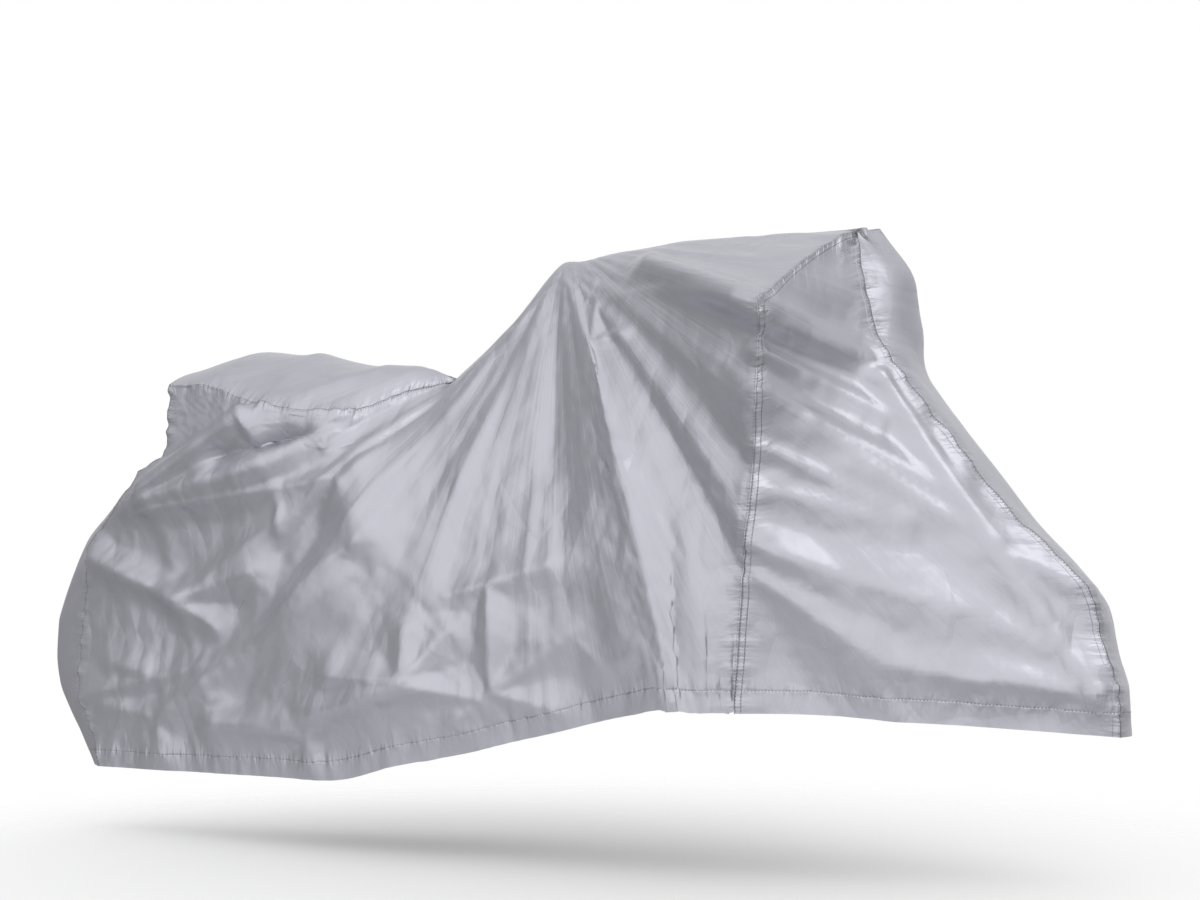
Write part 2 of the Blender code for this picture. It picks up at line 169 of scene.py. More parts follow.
def front_side(body):
    """A front side panel, rows from the slanted seam down: straight lines from the body's vertical
    seam to the front strip's edge, pushed at the top to meet the slanted seam."""
    slanted = body[-1, SHOULDER_ROWS:STRIP_ROWS - 1:-1]
    seam = body[-1, SHOULDER_ROWS:]
    edge = front_strip_edge(slanted[-1])[:, :3]
    across = np.linspace(0, 1, len(slanted))[None, :, None]
    panel = seam[:, None] * (1 - across) + edge[:, None] * across
    top_change = slanted - panel[0]
    fade = np.linspace(1, 0, len(panel))[:, None, None] ** 2
    return panel + top_change[None] * fade


def front_strip(body):
    """The front strip, rows from the top down: across it a parabola of the bow, which fades in below
    the arch of its top."""
    arch = body[-1, STRIP_ROWS::-1]
    arch = np.concatenate([arch * [1, -1, 1], arch[-2::-1]])
    edge = front_strip_edge(body[-1, STRIP_ROWS])
    across = arch[:, 1] / arch[-1, 1]
    points = np.empty((len(edge), len(arch), 3))
    points[:, :, 0] = edge[:, 0, None] + edge[:, 3, None] * (1 - across ** 2)
    points[:, :, 1] = edge[:, 1, None] * across
    points[:, :, 2] = edge[:, 2, None]
    fade = np.linspace(1, 0, len(edge))[:, None, None] ** 2
    return points + (arch - points[0])[None] * fade


def rear_strip(columns, body):
    """The rear strip, rows from its point over the load to the rear corner and down to the hem: a
    parabola of the bow across its two edges, which are the body's."""
    top = body[:np.searchsorted(columns, STRIP_POINT) + 1, 0][::-1]
    edge = np.concatenate([top, body[0, 1:]])
    down_back = np.linspace(1, 2, body.shape[1])[1:]
    place = np.concatenate([np.linspace(0, 1, len(top)), down_back])
    table = np.array(REAR_STRIP_BOW)
    back = np.interp(place, table[:, 0], table[:, 1])[:, None]
    up = np.interp(place, table[:, 0], table[:, 2])[:, None]
    across = np.linspace(-1, 1, 2 * REAR_STRIP_HALF_COLUMNS + 1)
    bump = 1 - across ** 2
    x = edge[:, 0, None] - back * bump
    y = edge[:, 1, None] * across
    height = edge[:, 2, None] + up * bump
    return np.stack([x, y, height], -1)


# Folds of the two sides, as seen square from the near side. A ridge is a soft swelling, raised for
# a positive height and sunk for a negative one. A step is a sharp edge: the cloth stands proud on
# its +x side, or lies back there for a negative height. "bend" moves the fold's middle sideways.
NEAR_FOLDS = (
    # name, kind, start (x, height), end (x, height), bend, start width, end width, depth
    ("saddle drop", "step", (0.00, 0.98), (-0.36, 0.62), 0.00, 0.02, 0.05, 0.025),
    ("saddle to wheel", "ridge", (-0.34, 0.64), (-0.74, 0.43), 0.00, 0.05, 0.04, 0.018),
    ("handlebar roll", "ridge", (0.19, 0.96), (0.42, 0.82), 0.00, 0.03, 0.03, 0.010),
    ("pocket edge", "step", (-0.56, 0.76), (-0.82, 0.67), 0.00, 0.04, 0.04, 0.030),
    ("pocket hollow", "ridge", (-0.62, 0.69), (-0.45, 0.71), 0.00, 0.03, 0.03, -0.022),
    ("wheel upper ridge", "ridge", (-0.88, 0.62), (-0.40, 0.71), -0.02, 0.03, 0.03, 0.014),
    ("wheel back crease", "ridge", (-0.99, 0.52), (-0.74, 0.43), 0.00, 0.04, 0.03, 0.014),
    ("wheel low ridge", "ridge", (-0.76, 0.24), (-0.36, 0.44), 0.00, 0.03, 0.05, 0.012),
    ("pedal low ridge", "ridge", (-0.65, 0.21), (-0.20, 0.28), -0.01, 0.04, 0.04, 0.014),
    ("front broad ridge", "ridge", (0.40, 0.52), (0.82, 0.28), -0.04, 0.06, 0.04, 0.010),
)
FAR_FOLDS = (
    ("saddle drop", "step", (0.00, 0.98), (-0.32, 0.66), 0.00, 0.02, 0.05, 0.022),
    ("handlebar roll", "ridge", (0.16, 0.97), (0.42, 0.81), 0.00, 0.03, 0.03, 0.010),
    ("pocket edge", "step", (-0.50, 0.75), (-0.82, 0.66), 0.02, 0.04, 0.04, 0.026),
    ("pocket hollow", "ridge", (-0.66, 0.68), (-0.40, 0.70), 0.00, 0.03, 0.03, -0.018),
    ("wheel upper ridge", "ridge", (-0.92, 0.59), (-0.44, 0.68), -0.02, 0.03, 0.04, 0.016),
    ("wheel star", "ridge", (-0.70, 0.40), (-0.34, 0.60), 0.02, 0.03, 0.05, 0.016),
    ("wheel low ridge", "ridge", (-0.85, 0.22), (-0.48, 0.42), 0.02, 0.04, 0.04, 0.014),
    ("pedal low ridge", "ridge", (-0.55, 0.20), (-0.12, 0.31), -0.01, 0.04, 0.05, 0.016),
    ("front broad ridge", "ridge", (0.39, 0.46), (0.78, 0.30), -0.02, 0.06, 0.04, 0.010),
)


def fold_depth(x, height, folds):
    """How far a set of folds pushes the cloth out at side-view places. Across a ridge the depth is a
    bell curve with a pointed top, and across a step a steep S that dies away slowly on the proud
    side. Both follow a shallow parabola from start to end and fade past the ends."""
    depth = np.zeros_like(x)
    for _, kind, (x0, z0), (x1, z1), bend, start_width, end_width, amount in folds:
        length = np.hypot(x1 - x0, z1 - z0)
        ux, uz = (x1 - x0) / length, (z1 - z0) / length
        run = ((x - x0) * ux + (height - z0) * uz) / length
        part = np.clip(run, 0, 1)
        off = (height - z0) * ux - (x - x0) * uz - 4 * bend * part * (1 - part)
        width = start_width + (end_width - start_width) * part
        past = np.maximum(np.maximum(-run, run - 1), 0) * length
        strength = amount * width / max(start_width, end_width) * np.exp(-(past / width) ** 2)
        if kind == "ridge":
            depth += strength * (BELL_SHARE * np.exp(-(off / width) ** 2)
                                 + (1 - BELL_SHARE) * np.exp(-np.abs(off) / width))
        else:
            edge = 0.5 + 0.5 * np.tanh(STEP_STEEPNESS * off / width)
            depth += strength * edge * np.exp(-np.maximum(off, 0) / (STEP_REACH * width))
    return depth


def smooth_noise(u, v, seed):
    """Random heights from -1 to 1 that change smoothly about once a unit: a table of random corner
    values, joined by eased straight lines."""
    table = np.random.default_rng(seed).uniform(-1, 1, (NOISE_TABLE, NOISE_TABLE))
    u0, v0 = np.floor(u).astype(int), np.floor(v).astype(int)
    fu, fv = u - u0, v - v0
    fu, fv = fu * fu * (3 - 2 * fu), fv * fv * (3 - 2 * fv)
    u1, v1 = (u0 + 1) % NOISE_TABLE, (v0 + 1) % NOISE_TABLE
    u0, v0 = u0 % NOISE_TABLE, v0 % NOISE_TABLE
    a, b = table[u0, v0], table[u1, v0]
    c, d = table[u0, v1], table[u1, v1]
    return (a * (1 - fu) + b * fu) * (1 - fv) + (c * (1 - fu) + d * fu) * fv


def grid_quads(rows, columns, first, turned):
    """Corner numbers of every cell of a grid. Turned grids run round the other way."""
    corner = first + np.arange(rows * columns).reshape(rows, columns)
    quads = np.stack([corner[:-1, :-1], corner[1:, :-1], corner[1:, 1:], corner[:-1, 1:]], -1)
    quads = quads.reshape(-1, 4)
    return quads[:, ::-1] if turned else quads


def welded_skin(grids, turned):
    """Join the grids into one skin: points that coincide become one point. Also gives, for every
    grid, the numbers of its points in the skin, and the quads with the grid that each is from."""
    count, quads, owner = 0, [], []
    for name, grid in grids.items():
        faces = grid_quads(*grid.shape[:2], count, turned[name])
        quads.append(faces)
        owner += [name] * len(faces)
        count += grid.shape[0] * grid.shape[1]
    points = np.concatenate([grid.reshape(-1, 3) for grid in grids.values()])
    rounded = np.round(points / WELD)
    _, kept, joined = np.unique(rounded, axis=0, return_index=True, return_inverse=True)
    joined = joined.reshape(-1)
    numbers, first = {}, 0
    for name, grid in grids.items():
        size = grid.shape[0] * grid.shape[1]
        numbers[name] = joined[first:first + size].reshape(grid.shape[:2])
        first += size
    return points[kept], joined[np.concatenate(quads)], np.array(owner), numbers


def point_normals(points, quads):
    """Mean direction of the faces round each point, weighted by their size."""
    corners = points[quads]
    face = np.cross(corners[:, 2] - corners[:, 0], corners[:, 3] - corners[:, 1])
    total = np.zeros_like(points)
    for corner in range(4):
        np.add.at(total, quads[:, corner], face)
    return total / np.linalg.norm(total, axis=1, keepdims=True)


NEAR_SIDE = np.array([1, -1, 1])
columns, body = body_half()
side_panel = front_side(body)
grids = {
    "body_far": body,
    "body_near": body * NEAR_SIDE,
    "front_side_far": side_panel,
    "front_side_near": side_panel * NEAR_SIDE,
    "front_strip": front_strip(body),
    "rear_strip": rear_strip(columns, body),
}
turned = {"body_far": False, "body_near": True, "front_side_far": True, "front_side_near": False,
          "front_strip": False, "rear_strip": True}
skin, cells, _, numbers = welded_skin(grids, turned)

# The folds push the skin out and in. They fade near the middle plane and round the peak, where the
# cloth is drawn tight.
x, y, height = skin.T
depth = np.where(y < 0, fold_depth(x, height, NEAR_FOLDS), fold_depth(x, height, FAR_FOLDS))
fade = np.clip(np.abs(y) / FOLD_FADE_WIDTH, 0, 1)
fade = fade * fade * (3 - 2 * fade)
tight = np.clip(np.hypot(x, height - SADDLE_HEIGHT) / PEAK_REACH, 0, 1)

# The saddle's back edge holds the film up in one sharp point, and it sinks a little on both sides.
PEAK_RISE = 0.022
PEAK_WIDTH = 0.020
PEAK_DIP = 0.014
PEAK_DIP_WIDTH = 0.060
PEAK_ROUNDING = 0.003
PEAK_FROM_HEIGHT = 0.90
from_peak = np.sqrt(x ** 2 + y ** 2 + PEAK_ROUNDING ** 2)
rise = PEAK_RISE * np.exp(-from_peak / PEAK_WIDTH) - PEAK_DIP * np.exp(-(from_peak / PEAK_DIP_WIDTH) ** 2)

# Fine ripples fan out from the saddle's peak, where the film hangs from one place.
FAN_TOP = 1.05
RIPPLE = 0.002
RIPPLES_A_RADIAN = 14
RIPPLES_A_METRE = 4
SMALL_RIPPLE = 0.0008
SMALL_RIPPLES_A_METRE = 22
SMALL_RIPPLE_SHIFT = 90
NEAR_RIPPLE_SHIFT = 40
angle = np.arctan2(x, FAN_TOP - height)
reach = np.hypot(x, FAN_TOP - height)
other_side = NEAR_RIPPLE_SHIFT * (y < 0)
ripple = smooth_noise(angle * RIPPLES_A_RADIAN + other_side, reach * RIPPLES_A_METRE, 5)
small = smooth_noise(x * SMALL_RIPPLES_A_METRE + SMALL_RIPPLE_SHIFT,
                     height * SMALL_RIPPLES_A_METRE + other_side, 6)
depth = depth + RIPPLE * ripple + SMALL_RIPPLE * small

# Between the wheels the far side hangs a little shorter, most at the hem.
lift = np.clip((FAR_HEM_LIFT_TOP - height) / FAR_HEM_LIFT_TOP, 0, 1) ** 2
lift = FAR_HEM_LIFT * lift * np.exp(-((x - FAR_HEM_LIFT_X) / FAR_HEM_LIFT_WIDTH) ** 2) * (y > 0)
skin = skin + point_normals(skin, cells) * (depth * fade * tight)[:, None]
skin = skin + np.stack([0 * x, 0 * x, lift + rise * (height > PEAK_FROM_HEIGHT)], 1)

# The film is cut a little larger than its hung shape, so it buckles between the places that hold it:
# a cloth simulation, pulled softly to the shape above and firmly along the ridge and the strips.
SLACK = 0.0025
HOLD_SOFT = 0.45
HOLD_FIRM = 1.0
FRAMES = 20
RIDGE_HOLD_WIDTH = 0.05
RIDGE_HOLD_FROM_HEIGHT = 0.75
FIRM_COLUMNS = 4


def settled(points, quads, hold, slack):
    """Let Blender's cloth settle from the points, and read back where they come to rest."""
    mesh = bpy.data.meshes.new("settling_film")
    faces = [[c for i, c in enumerate(q) if c != q[i - 1]] for q in quads.tolist()]
    mesh.from_pydata(points.tolist(), [], faces)
    film = bpy.data.objects.new("settling_film", mesh)
    bpy.context.scene.collection.objects.link(film)
    group = film.vertex_groups.new(name="hold")
    for weight in np.unique(np.round(hold, 2)):
        group.add(np.nonzero(np.round(hold, 2) == weight)[0].tolist(), float(weight), "REPLACE")
    cloth = film.modifiers.new("cloth", "CLOTH")
    settings = cloth.settings
    settings.quality = 4
    settings.mass = 0.02
    settings.tension_stiffness = 30
    settings.compression_stiffness = 30
    settings.shear_stiffness = 15
    settings.bending_stiffness = 2.0
    settings.air_damping = 2
    settings.vertex_group_mass = "hold"
    settings.pin_stiffness = 1.0
    settings.shrink_min = -slack
    settings.effector_weights.gravity = 0.2
    cloth.collision_settings.use_collision = False
    cloth.point_cache.frame_start = 1
    cloth.point_cache.frame_end = FRAMES
    scene = bpy.context.scene
    scene.frame_start, scene.frame_end = 1, FRAMES
    for step in range(1, FRAMES + 1):
        scene.frame_set(step)
    evaluated = film.evaluated_get(bpy.context.evaluated_depsgraph_get())
    result = np.empty(len(points) * 3, np.float32)
    evaluated.data.vertices.foreach_get("co", result)
    bpy.data.objects.remove(film)
    scene.frame_set(1)
    return result.reshape(-1, 3).astype(float)


near_ridge = np.clip(1 - np.abs(skin[:, 1]) / RIDGE_HOLD_WIDTH, 0, 1)
near_ridge = near_ridge * (skin[:, 2] > RIDGE_HOLD_FROM_HEIGHT)
hold = HOLD_SOFT + (HOLD_FIRM - HOLD_SOFT) * near_ridge
firm_places = (numbers["body_far"][:, 0], numbers["body_near"][:, 0], numbers["rear_strip"].ravel(),
               numbers["body_far"][:FIRM_COLUMNS].ravel(), numbers["body_near"][:FIRM_COLUMNS].ravel())
for place in firm_places:
    hold[place] = HOLD_FIRM
skin = settled(skin, cells, hold, SLACK)


def finer(grid):
    """Twice as many cells each way. A new point lies on the cubic through its four neighbours."""
    for axis in (0, 1):
        g = np.moveaxis(grid, axis, 0)
        padded = np.concatenate([2 * g[:1] - g[1:2], g, 2 * g[-1:] - g[-2:-1]])
        middle = (9 * (padded[1:-2] + padded[2:-1]) - padded[:-3] - padded[3:]) / 16
        both = np.empty((2 * len(g) - 1,) + g.shape[1:])
        both[::2] = g
        both[1::2] = middle
        grid = np.moveaxis(both, 0, axis)
    return grid


hung = {name: finer(skin[number]) for name, number in numbers.items()}
top_cells = 2 * (np.searchsorted(columns, STRIP_POINT))
for half, strip_side in (("body_far", -1), ("body_near", 0)):
    side = half.replace("body", "front_side")
    hung[side][:, 0] = hung[half][-1, 2 * SHOULDER_ROWS:]
    hung[side][0] = hung[half][-1, 2 * SHOULDER_ROWS:2 * STRIP_ROWS - 1:-1]
    hung["front_strip"][:, strip_side] = hung[side][:, -1]
    hung["rear_strip"][:top_cells + 1, strip_side] = hung[half][top_cells::-1, 0]
    hung["rear_strip"][top_cells:, strip_side] = hung[half][0]
    far_to_middle = slice(None, 2 * STRIP_ROWS + 1)
    arch = hung[half][-1, far_to_middle]
    if strip_side == 0:
        hung["front_strip"][0, :2 * STRIP_ROWS + 1] = arch[::-1]
    else:
        hung["front_strip"][0, 2 * STRIP_ROWS:] = arch
hung["body_near"][top_cells:, 0] = hung["body_far"][top_cells:, 0]
fine_skin, fine_cells, fine_owners, fine_numbers = welded_skin(hung, turned)


# Sharp creases and the stars where they meet, which a film this stiff keeps however it hangs.
CREST_ROUNDING = 0.002
SKIRT = 4.0
TENT_HOLLOW = 2.0
RAY_START_WIDTH = 0.010
RAY_END_WIDTH = 0.022
NEAR_CREASES = (
    # name, start (x, height), end (x, height), start width, end width, depth
    ("broad line end", (-0.576, 0.325), (-0.797, 0.218), 0.030, 0.015, 0.012),
    ("pleat hook", (0.107, 0.833), (0.164, 0.837), 0.004, 0.006, 0.007),
    ("pleat hook top", (0.094, 0.900), (0.107, 0.833), 0.004, 0.005, 0.006),
    ("tube roll", (0.196, 0.960), (0.390, 0.842), 0.014, 0.012, 0.012),
    ("broad line", (-0.300, 0.520), (-0.576, 0.325), 0.020, 0.030, 0.016),
    ("broad line end", (-0.576, 0.325), (-0.797, 0.218), 0.030, 0.016, 0.015),
    ("pocket apex left", (-0.563, 0.758), (-0.905, 0.603), 0.008, 0.030, 0.015),
    ("pocket apex right", (-0.563, 0.758), (-0.525, 0.700), 0.006, 0.010, 0.008),
    ("pocket valley", (-0.525, 0.700), (-0.390, 0.730), 0.006, 0.010, -0.010),
    ("pocket short ridge", (-0.405, 0.690), (-0.371, 0.755), 0.005, 0.004, 0.008),
    ("wheel upper line", (-0.900, 0.612), (-0.503, 0.666), 0.010, 0.022, 0.013),
    ("wheel upper line end", (-0.503, 0.666), (-0.384, 0.740), 0.022, 0.012, 0.013),
    ("wheel second line", (-0.905, 0.600), (-0.492, 0.622), 0.010, 0.014, 0.012),
    ("wheel second line end", (-0.492, 0.622), (-0.356, 0.627), 0.014, 0.008, 0.012),
    ("drop line", (-0.353, 0.630), (-0.498, 0.507), 0.010, 0.020, -0.011),
    ("small loop", (-0.488, 0.590), (-0.494, 0.545), 0.004, 0.004, 0.006),
    ("front patch edge", (0.412, 0.561), (0.575, 0.515), 0.014, 0.020, 0.012),
    ("front band a", (0.399, 0.484), (0.527, 0.430), 0.012, 0.026, 0.015),
    ("front band b", (0.527, 0.430), (0.701, 0.376), 0.026, 0.026, 0.015),
    ("front band c", (0.701, 0.376), (0.808, 0.320), 0.026, 0.014, 0.015),
    ("front low band a", (0.402, 0.436), (0.564, 0.318), 0.012, 0.026, 0.015),
    ("front low band b", (0.564, 0.318), (0.698, 0.290), 0.026, 0.014, 0.015),
    ("grip line", (0.450, 0.797), (0.548, 0.760), 0.010, 0.014, 0.012),
    ("grip line low", (0.421, 0.756), (0.573, 0.672), 0.008, 0.018, 0.015),
    ("hairpin", (0.834, 0.273), (0.698, 0.296), 0.010, 0.020, 0.015),
    ("long crest top", (0.556, 0.735), (0.711, 0.479), 0.010, 0.026, 0.024),
    ("long crest foot", (0.711, 0.479), (0.838, 0.262), 0.026, 0.010, 0.022),
    ("seam to star high", (0.419, 0.700), (0.640, 0.560), 0.010, 0.022, 0.018),
    ("seam to star low", (0.415, 0.620), (0.600, 0.520), 0.008, 0.018, 0.013),
    ("strip crest", (0.590, 0.705), (0.780, 0.455), 0.008, 0.014, 0.012),
)
FAR_CREASES = (
    ("tube roll", (0.170, 0.965), (0.415, 0.830), 0.014, 0.020, 0.013),
    ("pocket apex left", (-0.510, 0.752), (-0.880, 0.610), 0.008, 0.030, 0.019),
    ("pocket apex right", (-0.510, 0.752), (-0.460, 0.690), 0.008, 0.012, 0.015),
    ("wheel upper line", (-0.920, 0.560), (-0.430, 0.655), 0.012, 0.024, 0.013),
    ("wheel low line", (-0.880, 0.300), (-0.460, 0.450), 0.012, 0.026, 0.013),
    ("front band", (0.405, 0.560), (0.690, 0.400), 0.012, 0.024, 0.015),
    ("front low band", (0.400, 0.400), (0.760, 0.285), 0.012, 0.022, 0.013),
    ("grip line", (0.430, 0.790), (0.560, 0.730), 0.010, 0.016, 0.013),
)
NEAR_STARS = (
    # name, centre (x, height), depth, ends of its creases (x, height)
    ("fan foot", (-0.050, 0.439), 0.014, ((-0.048, 0.365), (0.058, 0.464), (-0.130, 0.420))),
    ("hem middle", (-0.052, 0.270), 0.014, ((-0.048, 0.365), (0.090, 0.360), (-0.115, 0.226),
                                            (0.048, 0.245))),
    ("pleat foot", (0.090, 0.360), 0.010, ((0.133, 0.314), (0.020, 0.345))),
    ("pleat small", (0.224, 0.331), 0.005, ((0.175, 0.316), (0.185, 0.360), (0.250, 0.262))),
    ("pedal", (-0.203, 0.283), 0.016, ((-0.126, 0.366), (-0.202, 0.365), (-0.358, 0.293), (-0.399, 0.230),
                                       (-0.075, 0.258))),
    ("rear hem", (-0.417, 0.200), 0.013, ((-0.640, 0.211), (-0.417, 0.140), (-0.305, 0.255))),
    ("wheel", (-0.742, 0.431), 0.016, ((-1.000, 0.522), (-0.560, 0.480), (-0.650, 0.380))),
    ("wheel low", (-0.803, 0.288), 0.013, ((-0.929, 0.318), (-0.600, 0.325), (-1.020, 0.254))),
    ("rear corner", (-0.795, 0.214), 0.011, ((-0.960, 0.240), (-0.640, 0.260), (-0.800, 0.150))),
    ("front wheel", (0.711, 0.479), 0.018, ((0.573, 0.749), (0.640, 0.660), (0.530, 0.600), (0.419, 0.693),
                                           (0.834, 0.273), (0.834, 0.410))),
)
FAR_STARS = (
    ("fan foot", (-0.150, 0.400), 0.014, ((-0.060, 0.420), (-0.150, 0.320), (-0.250, 0.380))),
    ("pedal", (-0.260, 0.270), 0.008, ((-0.180, 0.350), (-0.420, 0.260), (-0.120, 0.250), (-0.270, 0.350))),
    ("wheel", (-0.680, 0.400), 0.016, ((-0.960, 0.480), (-0.500, 0.460), (-0.620, 0.330))),
    ("rear corner", (-0.850, 0.220), 0.013, ((-0.970, 0.260), (-0.650, 0.240), (-0.840, 0.150))),
    ("pleat foot", (0.150, 0.310), 0.013, ((0.060, 0.280), (0.200, 0.380), (0.110, 0.390))),
    ("front wheel", (0.730, 0.440), 0.018, ((0.580, 0.730), (0.620, 0.600), (0.470, 0.640), (0.830, 0.290),
                                           (0.835, 0.390))),
)


def crease_depth(x, height, creases, stars):
    """How far the creases push the film out at side-view places. A crease is a tent: a slightly
    rounded edge with a nearly straight slope on both sides. Where tents meet, the higher one shows.
    A star is the creases that run out from its centre, each thinning towards its end."""
    rays = [(name, centre, end, RAY_START_WIDTH, RAY_END_WIDTH, amount)
            for name, centre, amount, ends in stars for end in ends]
    raised, sunk = np.zeros_like(x), np.zeros_like(x)
    for _, (x0, z0), (x1, z1), start_width, end_width, amount in (*creases, *rays):
        length = np.hypot(x1 - x0, z1 - z0)
        ux, uz = (x1 - x0) / length, (z1 - z0) / length
        run = ((x - x0) * ux + (height - z0) * uz) / length
        off = (height - z0) * ux - (x - x0) * uz
        width = SKIRT * (start_width + (end_width - start_width) * np.clip(run, 0, 1))
        past = np.maximum(np.maximum(-run, run - 1), 0) * length
        away = np.sqrt(off ** 2 + past ** 2 + CREST_ROUNDING ** 2) - CREST_ROUNDING
        tent = amount * np.clip(1 - away / width, 0, 1) ** TENT_HOLLOW
        raised, sunk = np.maximum(raised, tent), np.minimum(sunk, tent)
    return raised + sunk


x, y, height = fine_skin.T
crease = np.where(y < 0, crease_depth(x, height, NEAR_CREASES, NEAR_STARS),
                  crease_depth(x, height, FAR_CREASES, FAR_STARS))

# From the peak the film falls in a fan of straight folds, like a pleated cone. A row is the place
# of one fold's edge, in degrees from straight down, near the peak and at the hem. Between two edges
# the film is flat. The depth grows evenly from the peak, and dies away beyond the fan, sooner at its
# two sides than in its middle.
FAN_FULL = 0.45
FAN_HEM = 0.8
FAN_END = 0.95
FAN_END_SHORTER = 0.35
FAN_FADE = 0.30
FAN_MIDDLE = 5
FAN_MIDDLE_HALF = 30
FAN_SIDE = 15
NEAR_FAN = (
    # edge, degrees at the peak, degrees at the hem, depth
    ("behind", -85, -80, 0.000),
    ("drop crest", -64, -62, 0.007),
    ("drop hollow", -54, -52, 0.000),
    ("drop ridge", -47, -46, 0.010),
    ("broad hollow", -42, -41, 0.003),
    ("broad crest", -33, -38, 0.020),
    ("side hollow", -24, -25, 0.004),
    ("side ridge", -19, -17, 0.007),
    ("crest foot", -10, -6, -0.010),
    ("middle line", -1, 0, -0.007),
    ("wedge line", 6, 9, -0.009),
    ("pleat lip", 32, 20, 0.036),
    ("shoulder hollow", 43, 33, 0.000),
    ("shoulder crest", 47, 37, 0.009),
    ("tube hollow", 52, 42, 0.000),
    ("tube crest", 58, 48, 0.009),
    ("roll hollow", 66, 58, 0.000),
    ("roll crest", 72, 70, 0.005),
    ("ridge", 85, 85, 0.000),
)
FAR_FAN = (
    ("behind", -85, -80, 0.000),
    ("drop crest", -60, -58, 0.008),
    ("broad hollow", -46, -44, 0.000),
    ("broad crest", -32, -36, 0.022),
    ("side hollow", -22, -24, 0.004),
    ("fan crest", -8, -14, 0.020),
    ("middle hollow", 2, -2, -0.006),
    ("middle crest", 12, 8, 0.018),
    ("front hollow", 24, 15, -0.002),
    ("front crest", 36, 24, 0.020),
    ("tube hollow", 48, 36, 0.000),
    ("tube crest", 58, 50, 0.010),
    ("ridge", 85, 85, 0.000),
)


def fan_depth(x, height, fan):
    """How far the fan pushes the film out: straight lines between its edges in the angle round the
    peak, growing evenly with the distance from it as far as FAN_FULL."""
    angle = np.degrees(np.arctan2(x, SADDLE_HEIGHT - height))
    reach = np.hypot(x, SADDLE_HEIGHT - height)
    part = np.clip(reach / FAN_HEM, 0, 1)
    depth = np.zeros_like(x)
    for (_, a0, a1, low), (_, b0, b1, high) in zip(fan[:-1], fan[1:]):
        start = a0 + (a1 - a0) * part
        end = b0 + (b1 - b0) * part
        across = (angle - start) / (end - start)
        depth = np.where((across >= 0) & (across < 1), low + (high - low) * across, depth)
    aside = np.clip((np.abs(angle - FAN_MIDDLE) - FAN_MIDDLE_HALF) / FAN_SIDE, 0, 1)
    last = FAN_END - FAN_END_SHORTER * aside
    over = np.clip((reach - last) / FAN_FADE, 0, 1)
    return depth * np.clip(reach / FAN_FULL, 0, 1) * (1 - over * over * (3 - 2 * over))


# Between the named creases the film is crumpled into facets, long in the direction of the peak: three
# sizes of smooth noise in polar places round it, turned into pointed crests by its distance from zero.
CRUMPLES = (
    # name, depth, facets a radian, facets a metre outwards, seed
    ("broad", 0.0085, 6.0, 2.4, 11),
    ("middle", 0.0036, 13.0, 3.6, 12),
    ("small", 0.0008, 30.0, 8.0, 13),
)
CRUMPLE_POINT = 0.002
CRUMPLE_BEND = 0.3
NEAR_CRUMPLE_SHIFT = 9
CALM_NEAR_PEAK = 0.25
CALM_FROM = 0.50
CALM_OVER = 0.35
CALM_SHARE = 0.7
angle = np.arctan2(x, FAN_TOP - height) + NEAR_CRUMPLE_SHIFT * (y < 0)
reach = np.hypot(x, FAN_TOP - height)
crumple = np.zeros_like(x)
for _, amount, around, outwards, seed in CRUMPLES:
    bent = CRUMPLE_BEND * smooth_noise(angle * around * 0.5, reach * outwards * 0.7, seed + 20)
    facets = smooth_noise(angle * around + bent, reach * outwards + bent, seed)
    calm = np.clip(reach / CALM_NEAR_PEAK, 0, 1)
    calm = calm * (1 - CALM_SHARE * np.clip((reach - CALM_FROM) / CALM_OVER, 0, 1))
    crumple += amount * (0.5 - np.sqrt(facets ** 2 + CRUMPLE_POINT)) * calm
fade = np.clip(np.abs(y) / FOLD_FADE_WIDTH, 0, 1)
crease = crease + crumple + np.where(y < 0, fan_depth(x, height, NEAR_FAN), fan_depth(x, height, FAR_FAN))
fine_skin = fine_skin + point_normals(fine_skin, fine_cells) * (crease * fade)[:, None]


# Every point's distance along the seam nearest to it, its distance from that seam, and its distance
# from the hem. Stitches, puckers and the felled bands follow them.
def run_from(grid, axis, at_end):
    """Distance along the grid's lines from its first line, or from its last."""
    lines = np.moveaxis(grid, axis, 0)
    lines = lines[::-1] if at_end else lines
    run = np.cumsum(np.linalg.norm(np.diff(lines, axis=0), axis=2), axis=0)
    run = np.concatenate([np.zeros((1, run.shape[1])), run])
    return np.moveaxis(run[::-1] if at_end else run, 0, axis)


NO_SEAM = 1.0
along_seam = np.zeros(len(fine_skin))
seam_lines = [fine_numbers[name][-1] for name in ("body_far", "body_near")]
seam_lines += [fine_numbers[name][:, -1] for name in ("front_side_far", "front_side_near")]
seam_lines += [fine_numbers["rear_strip"][:, side] for side in (0, -1)]
for start, line in enumerate(seam_lines):
    along_seam[line] = start + run_from(fine_skin[line][:, None], 0, False)[:, 0]
SEAM_EDGES = {
    # grid: (axis across the seam, at the grid's last line)
    "body_far": ((0, True), (0, False), (1, False)),
    "body_near": ((0, True), (0, False), (1, False)),
    "front_side_far": ((0, False), (1, False), (1, True)),
    "front_side_near": ((0, False), (1, False), (1, True)),
    "front_strip": ((1, False), (1, True), (0, False)),
    "rear_strip": ((1, False), (1, True)),
}
seam_place = np.zeros((len(fine_skin), 3))
seam_place[:, 1] = NO_SEAM
